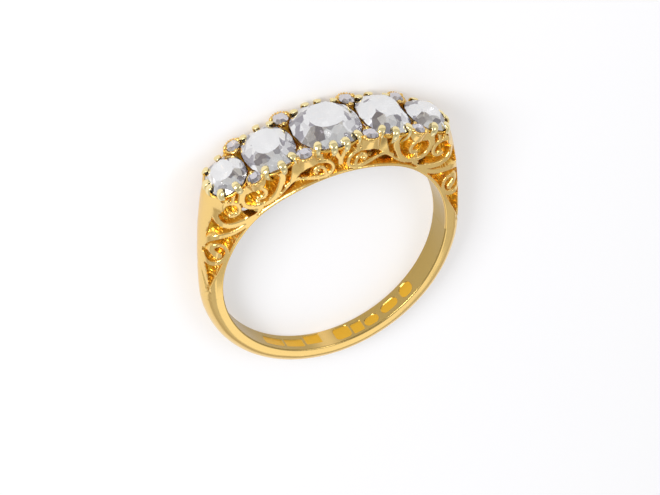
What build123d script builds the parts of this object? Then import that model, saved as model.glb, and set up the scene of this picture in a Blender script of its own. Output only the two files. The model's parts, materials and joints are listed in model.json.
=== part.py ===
import os
from math import atan2, cos, degrees, radians, sin, sqrt

from build123d import *

os.makedirs("parts", exist_ok=True)

# Five stone half hoop ring, lying on its side on a flat surface.
# Ring coordinates: u runs across the head, v from the finger axis to the head, w along the finger axis.
# All lengths are millimetres and all angles degrees. Angle 0 is the side of the ring, 90 the head.

# Finger hole and shank
bore_radius = 8.5
shank_thickness = 1.27
shank_half_width = 0.88
shank_side_height = 0.45
side_thickness = 1.4
side_half_width = 1.12
shoulder_half_width = 1.22
shoulder_crown = 0.6

# Stones: half length along the row, half width across it, and height of the crown above the girdle
centre_half_length = 2.44
centre_half_width = 2.49
centre_crown = 1.05
inner_half_length = 1.84
inner_half_width = 2.3
inner_crown = 0.9
outer_half_length = 1.5
outer_half_width = 1.72
outer_crown = 0.72
inner_accent_radius = 0.56
outer_accent_radius = 0.5
accent_crown = 0.24

# Head: the girdles follow one shallow arc above the bore
girdle_rise = 2.39
girdle_arc_radius = 16.6
deck_reach = 42
stone_gap = 0.09
seat_clearance = 0.04
rim_width = 0.2
accent_lift = 0.16

# Carving
bore_allowance = 0.3
carving_angle = 2
carving_depth = 0.86
rail_angles = (28, 50)
rail_low = 0.38
relief_depth = 0.42
ridge_width = 0.26
eye_radius = 0.22
rail_height = 0.32
edge_strip = 0.3
claw_radius = 0.25
claw_rise = 0.24
claw_length = 0.85
claw_inset = 0.14
centre_claw_angle = 82
accent_inset = 0.41
bead_radius = 0.19
bead_angles = (90, -25, 205)
accent_collar = 0.9
hole_share = 0.76

# Form of every cut stone
outline_power = 2.4
girdle_thickness = 0.1
table_share = 0.52
culet_share = 0.1
pavilion_share = 0.82
upper_slope_ratio = 1.2
star_slope_ratio = 0.55
lower_slope_ratio = 1.1
facet_step = 45

head_half_width = centre_half_width + rim_width
girdle_centre = bore_radius + girdle_rise - girdle_arc_radius
inner_turn = degrees((centre_half_length + inner_half_length + stone_gap) / girdle_arc_radius)
outer_turn = inner_turn + degrees((inner_half_length + outer_half_length + stone_gap) / girdle_arc_radius)
inner_gap_turn = degrees((centre_half_length + stone_gap / 2) / girdle_arc_radius)
outer_gap_turn = inner_turn + degrees((inner_half_length + stone_gap / 2) / girdle_arc_radius)

# The ring rests on the two middle claws of its head and on the back of its shank
claw_share = sin(radians(centre_claw_angle)) ** (2 / outline_power)
claw_reach = (centre_half_width + claw_inset) * claw_share + claw_radius
claw_foot = bore_radius + girdle_rise - claw_length
shank_foot = bore_radius + shank_side_height
lay_angle = degrees(atan2(claw_reach - shank_half_width, claw_foot + shank_foot))
rest_height = claw_reach * cos(radians(lay_angle)) - claw_foot * sin(radians(lay_angle))
table_height = bore_radius + girdle_rise + centre_crown
head_end = table_height * cos(radians(lay_angle)) + table_share * centre_half_width * sin(radians(lay_angle))
back_end = (bore_radius + shank_thickness) * cos(radians(lay_angle))
ring = Plane(
    origin=(0, (head_end - back_end) / 2, rest_height),
    x_dir=(-1, 0, 0),
    z_dir=(0, sin(radians(lay_angle)), cos(radians(lay_angle))),
)


def direction(u, v, w=0):
    """A vector given in ring coordinates."""
    return ring.x_dir * u + ring.y_dir * v + ring.z_dir * w


def polar(angle, radius):
    """The point (u, v) at an angle and radius round the finger axis."""
    return (radius * cos(radians(angle)), radius * sin(radians(angle)))


def above_bore(angle, share):
    """The point (u, v) at an angle, its height above the bore a share of the girdle's rise."""
    return polar(angle, bore_radius + share * girdle_rise)


def radial_plane(angle):
    """The half plane through the finger axis: local x is the radius."""
    return Plane(
        origin=ring.origin,
        x_dir=direction(*polar(angle, 1)),
        z_dir=direction(*polar(angle + 90, 1)),
    )


def seat_plane(turn, across=0, lift=0):
    """The girdle plane of a stone: turned from the middle of the head along the girdle arc."""
    out = direction(sin(radians(turn)), cos(radians(turn)))
    origin = ring.origin + direction(0, girdle_centre, across) + out * (girdle_arc_radius + lift)
    return Plane(origin=origin, x_dir=direction(cos(radians(turn)), -sin(radians(turn))), z_dir=out)


def ring_angle(turn):
    """The angle round the finger axis of a place on the girdle arc."""
    u = girdle_arc_radius * sin(radians(turn))
    v = girdle_centre + girdle_arc_radius * cos(radians(turn))
    return degrees(atan2(v, u))


def outline_point(angle, half_length, half_width):
    """A point on the cushion outline of a stone."""
    x, y = cos(radians(angle)), sin(radians(angle))
    power = 2 / outline_power
    return (
        half_length * abs(x) ** power * (1 if x >= 0 else -1),
        half_width * abs(y) ** power * (1 if y >= 0 else -1),
    )


def facet_plane(seat, angle, half_length, half_width, share, height, tangent):
    """The plane of one facet through a share of the outline at a height, with its slope as a tangent."""
    x, y = outline_point(angle, half_length, half_width)
    nx = abs(x / half_length) ** (outline_power - 1) / half_length * (1 if x >= 0 else -1)
    ny = abs(y / half_width) ** (outline_power - 1) / half_width * (1 if y >= 0 else -1)
    size = sqrt(nx * nx + ny * ny)
    nx, ny = nx / size, ny / size
    # The run from the table's edge to the girdle differs with direction, so the slope follows it
    run = x * nx + y * ny
    flat = seat.x_dir * nx + seat.y_dir * ny
    rise = tangent / run
    normal = flat * rise + seat.z_dir * (1 if height >= 0 else -1)
    origin = seat.origin + seat.x_dir * (x * share) + seat.y_dir * (y * share) + seat.z_dir * height
    return Plane(origin=origin, z_dir=normal)


def cut_stone(seat, half_length, half_width, crown, full=True):
    """A cushion cut stone: table, crown mains, stars and upper halves, pavilion mains and lower halves."""
    half_girdle = girdle_thickness / 2
    crown_tangent = (crown - half_girdle) / (1 - table_share)
    depth = pavilion_share * min(half_length, half_width)
    pavilion_tangent = (depth - half_girdle) / (1 - culet_share)
    with BuildPart() as stone:
        with BuildSketch(seat.offset(-depth)):
            with BuildLine():
                corners = [index * facet_step / 2 for index in range(720 // facet_step)]
                Polyline(*[outline_point(a, half_length, half_width) for a in corners], close=True)
            make_face()
        extrude(amount=depth + crown)
        cuts = []
        for turn in range(0, 360, facet_step):
            cuts.append((turn, 1, half_girdle, crown_tangent))
            cuts.append((turn, 1, -half_girdle, pavilion_tangent))
            if full:
                star = turn + facet_step / 2
                cuts.append((star, table_share, crown, crown_tangent * star_slope_ratio))
                for half in (turn + facet_step / 4, turn - facet_step / 4):
                    cuts.append((half, 1, half_girdle, crown_tangent * upper_slope_ratio))
                    cuts.append((half, 1, -half_girdle, pavilion_tangent * lower_slope_ratio))
        for turn, share, height, tangent in cuts:
            plane = facet_plane(seat, turn, half_length, half_width, share, height, tangent)
            split(bisect_by=plane, keep=Keep.BOTTOM)
    return stone


# The row of main stones: place, size and the claws round each, as angles on its outline
stones = [
    # name, turn, half length, half width, crown, claw angles at the front
    ("centre", 0, centre_half_length, centre_half_width, centre_crown, (-55, -centre_claw_angle)),
    ("inner", inner_turn, inner_half_length, inner_half_width, inner_crown, (-58, -92, -122)),
    ("outer", outer_turn, outer_half_length, outer_half_width, outer_crown, (-8, -52, -95)),
]
accents = [
    # name, turn, distance from the middle plane, radius
    ("inner_accent", inner_gap_turn, centre_half_width - accent_inset, inner_accent_radius),
    ("outer_accent", outer_gap_turn, inner_half_width - accent_inset, outer_accent_radius),
]

# Sections of the ring: half width at the bore and outside, height of the straight side above the bore, and
# height of the rounded outside, which is the shoulder's crown above the side
end_half_width = outer_half_width + rim_width
spread = end_half_width - side_half_width
inner_seat_half_width = inner_half_width + rim_width * 0.8
broad_half_width = shoulder_half_width * 1.18
flat_top = girdle_rise + outer_crown
high_top = flat_top * 1.1
sections = [
    # angle, half width at the bore, half width outside, side height, outside height
    (-90, shank_half_width, shank_half_width, shank_side_height, shank_thickness),
    (-45, shank_half_width * 1.06, shank_half_width * 1.06, shank_side_height, shank_thickness),
    (-12, side_half_width * 0.95, side_half_width * 0.93, shank_side_height * 1.1, side_thickness * 0.96),
    (8, side_half_width + 0.15 * spread, side_half_width, side_thickness * 0.5, side_thickness * 1.03),
    (20, side_half_width + 0.34 * spread, shoulder_half_width, side_thickness * 0.94, side_thickness * 1.36),
    (32, side_half_width + 0.56 * spread, broad_half_width, side_thickness * 1.56, side_thickness * 2),
    (42, side_half_width + 0.8 * spread, end_half_width * 0.94, flat_top, flat_top + shoulder_crown),
    (ring_angle(outer_turn), end_half_width, end_half_width, flat_top, high_top),
    (ring_angle(inner_turn), inner_seat_half_width, inner_seat_half_width, flat_top, high_top),
    (79, head_half_width * 0.985, head_half_width * 0.985, flat_top, high_top),
    (90, head_half_width, head_half_width, flat_top, high_top),
]


def section_blank(*spans):
    """Half of the ring lofted through the radial sections of each span, and its mirror image."""
    with BuildPart() as blank:
        for rows in spans:
            for angle, inside, outside, side, top in rows:
                low = bore_radius - bore_allowance
                high = bore_radius + side
                with BuildSketch(radial_plane(angle)):
                    with BuildLine():
                        Polyline((high, outside), (low, inside), (low, -inside), (high, -outside))
                        ThreePointArc((high, -outside), (bore_radius + top, 0), (high, outside))
                    make_face()
            loft()
        mirror(about=Plane(origin=ring.origin, z_dir=ring.x_dir))
    return blank


# Four carved scrolls on each half of each face: a foot on the ring and tangent arcs inwards to the eye.
# The foot's height and the arcs' radii are shares of the girdle's rise; the heading is from the radius.
scrolls = [
    # foot angle, foot height, heading, (radius, turn) of each arc
    (69.8, 0.50, 127.7, ((3.46, -14), (0.37, -80), (0.32, -122), (0.45, -40), (0.17, -215))),
    (67.5, 1.05, -161.3, ((2.46, 18), (0.69, 73), (0.41, 138), (0.34, 120), (0.19, 190))),
    (50.8, 0.25, -100.9, ((1.60, 28), (0.52, 85), (0.47, 77), (0.32, 137), (0.19, 190))),
    (45.4, 0.23, -91.9, ((1.23, 25), (7.7, 5), (0.51, -119), (0.30, -171), (0.21, -130))),
]

# Leaves under the small stones, as corners in angle and height above the bore
leaves = [
    (
        (80.8, 0.98), (75.0, 1.05), (73.0, 0.84), (67.7, 0.53),
        (61.5, 0.24), (66.0, 0.32), (70.2, 0.56), (75.4, 0.83),
    ),
    ((61.5, 1.25), (54.6, 1.38), (52.0, 1.15), (56.5, 1.0), (60.5, 0.95)),
]

# Places sawn right through the walls, as corners in angle and height above the bore
piercings = [
    ((90, 0.6), (85.5, 0.18), (94.5, 0.18)),
    ((77.2, 0.69), (75.4, 0.75), (72.6, 0.64), (71.2, 0.53), (75.4, 0.51)),
    ((73.0, 0.36), (69.0, 0.42), (66.0, 0.38), (63.0, 0.17), (71.0, 0.17)),
    ((43.9, 0.7), (47.2, 0.7), (46.3, 0.48)),
    ((33.5, 0.26), (31.8, 0.38), (29.0, 0.24), (30.8, 0.2)),
]


def scroll_chain(foot_angle, foot_height, heading, arcs):
    """Draw one scroll's line and return its eye."""
    point = above_bore(foot_angle, foot_height)
    angle = foot_angle + heading
    for share, turn in arcs:
        arc = JernArc(
            start=point,
            tangent=(cos(radians(angle)), sin(radians(angle))),
            radius=share * girdle_rise,
            arc_size=turn,
        )
        point = arc @ 1
        angle += turn
    return point


# The polished edge of the shoulder, as places on the rounded outside between the side and the crest
edge_row, middle_row, top_row = sections[4], sections[5], sections[6]
edge_line = [polar(row[0], bore_radius + (row[3] + row[4]) / 2) for row in (edge_row, middle_row, top_row)]
deck_radius = girdle_arc_radius - girdle_thickness
deck_end = polar(90 - deck_reach, deck_radius)
band_half = 1.2 * head_half_width

outer_blank = section_blank(sections[:4], sections[3:])
# The floor of the carving lies below the outer face, and runs out at the side of the ring
run_out = side_half_width - 0.25 * relief_depth
floor_rows = [(0, run_out, run_out, shank_side_height, side_thickness * 0.8)]
for angle, inside, outside, side, top in sections[3:]:
    floor_rows.append((angle, inside - relief_depth, outside - relief_depth, side, top))
floor_blank = section_blank(floor_rows)

with BuildPart() as raised:
    with BuildSketch(ring):
        with BuildLine():
            apex = polar(carving_angle, bore_radius + carving_depth)
            low = -2 * bore_radius
            Polyline(apex, (0, 0), (0, low), (-low, low), (-low, apex[1]), apex)
        make_face()
        # The rail round the bore, wide at the side of the ring and thin under the head
        with BuildLine():
            knee, end = rail_angles
            rail_radius = bore_radius + rail_height
            rail = ThreePointArc(apex, polar(knee, bore_radius + rail_low), polar(end, rail_radius))
            RadiusArc(rail @ 1, (0, rail_radius), -rail_radius)
            Polyline((0, rail_radius), (0, 0), apex)
        make_face()
        # The polished edge of the shoulder
        with BuildLine():
            ThreePointArc(*edge_line)
            Line(apex, edge_line[0])
        trace(line_width=edge_strip * 2)
        for foot_angle, foot_height, heading, arcs in scrolls:
            with BuildLine():
                eye = scroll_chain(foot_angle, foot_height, heading, arcs)
            trace(line_width=ridge_width)
            with Locations(eye):
                Circle(eye_radius)
        for leaf in leaves:
            with BuildLine():
                Polyline(*[above_bore(angle, share) for angle, share in leaf], close=True)
            make_face()
        mirror(about=Plane.YZ)
    extrude(amount=band_half, both=True)

with BuildPart() as carved:
    add(outer_blank.part)
    add(raised.part, mode=Mode.INTERSECT)

with BuildPart() as floor:
    add(floor_blank.part)
    with BuildSketch(ring):
        for piercing in piercings:
            with BuildLine():
                Polyline(*[above_bore(angle, share) for angle, share in piercing], close=True)
            make_face()
        mirror(about=Plane.YZ)
    extrude(amount=band_half, both=True, mode=Mode.SUBTRACT)

with BuildPart() as head:
    # Everything under the deck that the stones are set in, as seen along the finger axis
    with BuildSketch(ring):
        with BuildLine():
            end = (deck_end[0], deck_end[1] + girdle_centre)
            top = (0, girdle_centre + deck_radius)
            RadiusArc(end, top, -deck_radius)
            Polyline(top, (0, -2 * bore_radius), (end[0], -2 * bore_radius), end)
        make_face()
        mirror(about=Plane.YZ)
    extrude(amount=band_half, both=True)

with BuildPart() as hoop:
    add(carved.part)
    add(floor.part)
    add(head.part, mode=Mode.INTERSECT)
    with BuildSketch(ring):
        Circle(bore_radius)
    extrude(amount=band_half, both=True, mode=Mode.SUBTRACT)
    # An oval hole under each stone, drilled along the stone's axis into the finger hole
    for name, turn, half_length, half_width, crown, claw_angles in stones:
        for side in {turn, -turn}:
            with BuildSketch(seat_plane(side)):
                Ellipse(half_length * hole_share, half_width * hole_share)
    extrude(amount=-2 * girdle_rise, mode=Mode.SUBTRACT)

with BuildPart() as claws:
    for name, turn, half_length, half_width, crown, claw_angles in stones:
        for angle in claw_angles:
            x, y = outline_point(angle, half_length + claw_inset, half_width + claw_inset)
            with BuildSketch(seat_plane(turn) * Pos(x, y, -claw_length)):
                Circle(claw_radius)
            extrude(amount=claw_length + claw_rise)
            with Locations(seat_plane(turn) * Pos(x, y, claw_rise)):
                Sphere(claw_radius)
    for name, turn, across, radius in accents:
        seat = seat_plane(turn, across, accent_lift)
        with BuildSketch(seat.offset(-accent_collar)):
            Circle(radius + rim_width)
        extrude(amount=accent_collar)
        for angle in bead_angles:
            with Locations(seat * Pos(*polar(angle, radius + bead_radius / 2), 0)):
                Sphere(bead_radius)
    mirror(about=Plane(origin=ring.origin, z_dir=ring.z_dir))
    mirror(about=Plane(origin=ring.origin, z_dir=ring.x_dir))

seats = []
for name, turn, half_length, half_width, crown, claw_angles in stones:
    grown = (half_length + seat_clearance, half_width + seat_clearance, crown + seat_clearance)
    for side in {turn, -turn}:
        seats.append(cut_stone(seat_plane(side), *grown, full=False).part)
for name, turn, across, radius in accents:
    grown = (radius + seat_clearance, radius + seat_clearance, accent_crown + seat_clearance)
    for side in (turn, -turn):
        for face in (across, -across):
            seats.append(cut_stone(seat_plane(side, face, accent_lift), *grown, full=False).part)

with BuildPart() as ring_mount:
    add(hoop.part)
    add(claws.part, clean=False)
    add(seats, clean=False, mode=Mode.SUBTRACT)
ring_mount.part.label = "ring_mount"
export_step(ring_mount.part, "parts/ring_mount.step")


def set_stone(name, seat, half_length, half_width, crown, full):
    """Cut one stone in its seat, name it and write it."""
    stone = cut_stone(seat, half_length, half_width, crown, full)
    stone.part.label = name
    export_step(stone.part, "parts/" + name + ".step")
    print(name, round(stone.part.volume, 3))


for name, turn, half_length, half_width, crown, claw_angles in stones:
    places = [("", 0)] if turn == 0 else [("right_", turn), ("left_", -turn)]
    for word, side in places:
        set_stone(word + name + "_stone", seat_plane(side), half_length, half_width, crown, True)
for name, turn, across, radius in accents:
    for word, side in (("right_", turn), ("left_", -turn)):
        for face_word, face in (("front_", across), ("back_", -across)):
            seat = seat_plane(side, face, accent_lift)
            set_stone(face_word + word + name, seat, radius, radius, accent_crown, False)
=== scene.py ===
import json
from math import cos, radians, sin

import bpy
import numpy as np
from mathutils import Matrix, Vector


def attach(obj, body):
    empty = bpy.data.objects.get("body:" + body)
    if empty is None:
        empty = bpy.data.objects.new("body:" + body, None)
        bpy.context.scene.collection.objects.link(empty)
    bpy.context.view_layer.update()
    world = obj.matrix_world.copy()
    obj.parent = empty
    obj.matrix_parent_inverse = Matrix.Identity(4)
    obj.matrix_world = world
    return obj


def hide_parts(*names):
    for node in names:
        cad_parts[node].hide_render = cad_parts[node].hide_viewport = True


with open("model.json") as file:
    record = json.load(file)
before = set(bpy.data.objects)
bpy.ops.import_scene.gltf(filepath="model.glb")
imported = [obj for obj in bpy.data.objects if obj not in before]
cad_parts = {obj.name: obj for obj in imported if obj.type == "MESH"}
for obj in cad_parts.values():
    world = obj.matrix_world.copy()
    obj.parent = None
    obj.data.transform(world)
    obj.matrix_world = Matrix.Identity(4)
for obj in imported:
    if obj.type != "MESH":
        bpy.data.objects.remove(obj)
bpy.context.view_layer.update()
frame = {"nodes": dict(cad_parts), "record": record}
print("frame loaded:", len(frame["nodes"]), "nodes")

# Ring coordinates in millimetres: u across the head, v from the finger axis to the head, w along the
# finger. Angles are in degrees round the finger axis: 0 is the right side of the ring, 90 the head, -90
# the back.
bore = frame["record"]["mounts"][0]
boreRadius = bore["dims"]["r_mm"]
ringOrigin = np.array(bore["pos_m"])
fingerWay = np.array(bore["axis"]) / np.linalg.norm(bore["axis"])
acrossWay = np.array([-1.0, 0.0, 0.0])
headWay = np.cross(fingerWay, acrossWay)
ringWays = np.array([acrossWay, headWay, fingerWay])


def toRow(points):
    # ring millimetres to metres in the row's frame
    return ringOrigin + np.asarray(points) @ ringWays / 1000


# Camera and stage

view = dict(
    azimuth=22.83, elevation=40.69, roll=-1.6,  # of the camera round the ring, in ring coordinates
    distance=450,
    pixelsPerMm=14.267,  # of the picture at the ring's centre
    centreX=328.852, centreY=245.685,  # where the ring's centre lands in the picture
    pictureWidth=660, pictureHeight=495,
    sensorWidth=36,
    clip=(0.01, 10),  # metres
)


def makeCamera():
    # the camera turns round the ring by azimuth, then up by elevation, then rolls about its own line
    az, el, roll = (radians(view[k]) for k in ("azimuth", "elevation", "roll"))
    back = np.array([-sin(az) * cos(el), sin(el), cos(az) * cos(el)])
    level = np.array([cos(az), 0, sin(az)])
    upright = np.cross(back, level)
    right = level * cos(roll) + upright * sin(roll)
    up = upright * cos(roll) - level * sin(roll)
    data = bpy.data.cameras.new("camera")
    data.sensor_width = view["sensorWidth"]
    data.lens = view["pixelsPerMm"] * view["distance"] / view["pictureWidth"] * view["sensorWidth"]
    data.shift_x = (view["pictureWidth"] / 2 - view["centreX"]) / view["pictureWidth"]
    data.shift_y = (view["centreY"] - view["pictureHeight"] / 2) / view["pictureWidth"]
    data.clip_start, data.clip_end = view["clip"]
    camera = bpy.data.objects.new("camera", data)
    place = Matrix.Identity(4)
    for column, way in enumerate((right @ ringWays, up @ ringWays, back @ ringWays)):
        for row in range(3):
            place[row][column] = way[row]
    spot = toRow(back * view["distance"])
    for row in range(3):
        place[row][3] = spot[row]
    camera.matrix_world = place
    bpy.context.scene.collection.objects.link(camera)
    bpy.context.scene.camera = camera
    return right @ ringWays, up @ ringWays, back @ ringWays


cameraRight, cameraUp, cameraBack = makeCamera()
print("camera at", [round(v, 3) for v in bpy.context.scene.camera.matrix_world.translation])


def linear(hexColour):
    # an sRGB hex colour to linear red, green, blue and alpha
    parts = np.array([int(hexColour[i:i + 2], 16) for i in (1, 3, 5)]) / 255
    parts = np.where(parts <= 0.04045, parts / 12.92, ((parts + 0.055) / 1.055) ** 2.4)
    return (*parts.tolist(), 1.0)


def addNode(tree, kind, inputs=(), links=(), **settings):
    # inputs are socket name or index to value; links are socket to (node, output)
    node = tree.nodes.new("ShaderNode" + kind)
    for key, value in settings.items():
        setattr(node, key, value)
    for socket, value in dict(inputs).items():
        node.inputs[socket].default_value = value
    for socket, (source, output) in dict(links).items():
        tree.links.new(source.outputs[output], node.inputs[socket])
    return node


def newMaterial(name):
    # a material with its node tree and shader
    material = bpy.data.materials.new(name)
    material.use_nodes = True
    tree = material.node_tree
    return material, tree, tree.nodes["Principled BSDF"]


studio = dict(
    floorSize=1.2, floorHex="#D2D2D5", floorRoughness=0.9, glowHex="#FFFFFF", floorGlow=0.33,
    # brightness of the room by height, as grey against the height's sine
    sky=((0.0, "#E8E3DC"), (0.12, "#DAD4CC"), (0.26, "#DCD8D2"), (0.38, "#F4F4F4"), (0.66, "#E8E8E8"),
         (0.82, "#EEEEEE"), (0.9, "#A6A4A2"), (1.0, "#D8D8D8")),
    skyStrength=0.8,
)


def makeStage():
    # a square floor, and a room whose brightness depends on the height looked at
    size = studio["floorSize"] / 2
    mesh = bpy.data.meshes.new("floor")
    corners = [(-size, -size, 0), (size, -size, 0), (size, size, 0), (-size, size, 0)]
    mesh.from_pydata(corners, [], [(0, 1, 2, 3)])
    floor = bpy.data.objects.new("floor", mesh)
    bpy.context.scene.collection.objects.link(floor)
    # matt white paper that glows a little, so that it stays white to its edge
    paper, _, shader = newMaterial("white_paper")
    shader.inputs["Base Color"].default_value = linear(studio["floorHex"])
    shader.inputs["Roughness"].default_value = studio["floorRoughness"]
    shader.inputs["Emission Color"].default_value = linear(studio["glowHex"])
    shader.inputs["Emission Strength"].default_value = studio["floorGlow"]
    mesh.materials.append(paper)
    world = bpy.data.worlds.new("studio")
    world.use_nodes = True
    bpy.context.scene.world = world
    tree = world.node_tree
    place = addNode(tree, "TexCoord")
    split = addNode(tree, "SeparateXYZ", links={0: (place, "Generated")})
    ramp = addNode(tree, "ValToRGB", links={0: (split, "Z")})
    stops = ramp.color_ramp.elements
    while len(stops) < len(studio["sky"]):
        stops.new(1.0)
    for stop, (height, shade) in zip(stops, studio["sky"]):
        stop.position = height
        stop.color = linear(shade)
    tree.links.new(ramp.outputs["Color"], tree.nodes["Background"].inputs["Color"])
    tree.nodes["Background"].inputs["Strength"].default_value = studio["skyStrength"]


makeStage()

lights = dict(
    # name: offset along the picture's right, up and towards the camera in millimetres, width, height, watts
    key=((-90, -20, 200), 90, 90, 0.3),
    fill=((170, -20, 150), 60, 110, 0.06),
    front=((27, -59, -1), 34, 40, 0.0022),
)


def makeLights():
    # soft boxes that face the ring and don't show themselves
    for name, ((right, up, back), width, height, watts) in lights.items():
        data = bpy.data.lights.new(name, "AREA")
        data.shape = "RECTANGLE"
        data.size, data.size_y = width / 1000, height / 1000
        data.energy = watts
        light = bpy.data.objects.new(name, data)
        bpy.context.scene.collection.objects.link(light)
        offset = (cameraRight * right + cameraUp * up + cameraBack * back) / 1000
        spot = ringOrigin + offset
        light.location = spot
        light.rotation_euler = Vector(ringOrigin - spot).to_track_quat("-Z", "Y").to_euler()
        light.visible_camera = False


makeLights()
bpy.context.scene.view_settings.view_transform = "Standard"
print("stage with", len(lights), "lights")

# The ring's hoop: one half of its section runs from the middle of the bore to the middle of the outside

hoop = dict(
    # rows of folded angle and value: -90 is the back of the ring, 90 the middle of the head
    widthInside=((-90, 0.86), (-45, 0.92), (-12, 1.04), (8, 1.2), (22.5, 1.44), (33, 1.6), (45, 1.8),
                 (56, 2.08), (67.5, 2.38), (79, 2.54), (90, 2.58)),
    widthOutside=((-90, 0.88), (-45, 0.93), (-12, 1.02), (8, 1.1), (20, 1.2), (32, 1.42), (42, 1.76),
                  (90, 1.8)),
    side=((-90, 0.4), (-45, 0.4), (-12, 0.45), (8, 0.58), (20, 0.95), (32, 1.6), (42, 2.5), (90, 3.1)),
    crest=((-90, 1.27), (-45, 1.27), (-12, 1.32), (8, 1.45), (20, 1.92), (32, 2.8), (42, 3.75), (90, 7.0)),
    crestRound=0.3,  # softens the corner between shoulder and deck
    deckLow=10, deckAngles=(40, 47),  # where the deck starts, and where the shoulder turns into it
    deckEdge=0.06,  # rounding height at the deck
    flare=1.6,  # how late the wall under the deck swells out
    lip=0.26, lipShares=(0.85, 1.35),  # height, and where it falls away in shares of a small stone's reach
    bevel=0.1,
    wallThickness=0.8, bandThickness=0.4, slimmest=0.12,  # the last is the half width of the hollow at least
    innerSteps=(0.02, 0.05),  # keep the rows of the inner skin apart at the bevel and up the wall
    boreCells=10, bevelCells=3, wallCells=50, crestCells=24,
    crowding=1.2,  # of the cells of the outside towards its edge
)

head = dict(
    # the arc that the girdles follow, and its height above the finger axis
    girdleRadius=16.6, girdleTop=10.89,
    deckDrop=0.1, rim=0.2, outlinePower=2.4, holeShare=0.76,
    leastWidth=0.5,  # half width of the setting between its stones at least
    stoneBlend=0.12, accentBlend=0.2, accentInset=0.12, deckBlend=0.1,
)
girdleCentre = head["girdleTop"] - head["girdleRadius"]

# half length along the row, half width, crown height, place along the girdle arc in degrees
stones = dict(
    centre=dict(halfLength=2.44, halfWidth=2.49, crown=1.05, turn=0.0, claws=(-55, -82, -98, -125)),
    inner=dict(halfLength=1.84, halfWidth=2.3, crown=0.9, turn=15.083, claws=(-58, -92, -122)),
    outer=dict(halfLength=1.5, halfWidth=1.72, crown=0.72, turn=26.922, claws=(-8, -52, -95)),
)
accents = dict(
    inner=dict(radius=0.56, turn=8.579, across=2.08),
    outer=dict(radius=0.5, turn=21.589, across=1.89),
)


def smoothLine(xs, ys, x, level=False):
    # a smooth cubic through the values, level at both ends if asked
    slopes = np.gradient(ys, xs)
    if level:
        slopes[[0, -1]] = 0
    i = np.clip(np.searchsorted(xs, x) - 1, 0, len(xs) - 2)
    span = xs[i + 1] - xs[i]
    t = (x - xs[i]) / span
    return ((2 * t**3 - 3 * t**2 + 1) * ys[i] + (t**3 - 2 * t**2 + t) * span * slopes[i]
            + (3 * t**2 - 2 * t**3) * ys[i + 1] + (t**3 - t**2) * span * slopes[i + 1])


def smoothTable(rows, x):
    # the smooth line through rows of place and value, level at both ends
    xs, ys = np.array(rows, float).T
    return smoothLine(xs, ys, x, level=True)


def smoothStep(x, low, high):
    # 0 below low and 1 above high, three t squared less two t cubed between
    t = np.clip((x - low) / (high - low), 0, 1)
    return t * t * (3 - 2 * t)


def smoothMin(a, b, soft):
    # the smaller of two values, with the corner between them rounded
    t = np.clip(0.5 + 0.5 * (b - a) / soft, 0, 1)
    return b * (1 - t) + a * t - soft * t * (1 - t)


def smoothMax(a, b, soft):
    # the larger of two values, rounded the same way
    return -smoothMin(-a, -b, soft)


def foldAngle(angle):
    # the same angle on the right half of the ring
    return 90 - np.abs((np.asarray(angle, float) + 90) % 360 - 180)


def deckRadius(angle):
    # distance from the finger axis to the deck under the stones: a ray against the girdle arc
    height = girdleCentre * np.sin(np.radians(angle))
    radius = head["girdleRadius"] - head["deckDrop"]
    return height + np.sqrt(height**2 - girdleCentre**2 + radius**2)


def girdlePlace(turn):
    # u and v on the girdle arc, at an angle from the middle of the head
    t = radians(turn)
    return head["girdleRadius"] * sin(t), girdleCentre + head["girdleRadius"] * cos(t)


def seatWidth(u):
    # half width of the setting seen from above: the outlines of the stones and small stones with their rims
    width = np.full(np.shape(u), head["leastWidth"])
    for stone in stones.values():
        middle = girdlePlace(stone["turn"])[0]
        reach = (stone["halfLength"] + head["rim"]) * cos(radians(stone["turn"]))
        share = np.clip(np.abs(np.abs(u) - middle) / reach, 0, 1)
        power = head["outlinePower"]
        across = (stone["halfWidth"] + head["rim"]) * (1 - share**power) ** (1 / power)
        width = smoothMax(width, across, head["stoneBlend"])
    for accent in accents.values():
        middle = girdlePlace(accent["turn"])[0]
        reach = accent["radius"] + head["rim"]
        share = np.clip(np.abs(np.abs(u) - middle) / reach, 0, 1)
        edge = accent["across"] + reach * np.sqrt(1 - share**2) - head["accentInset"]
        width = smoothMax(width, np.where(share < 1, edge, 0), head["accentBlend"])
    return width


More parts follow.
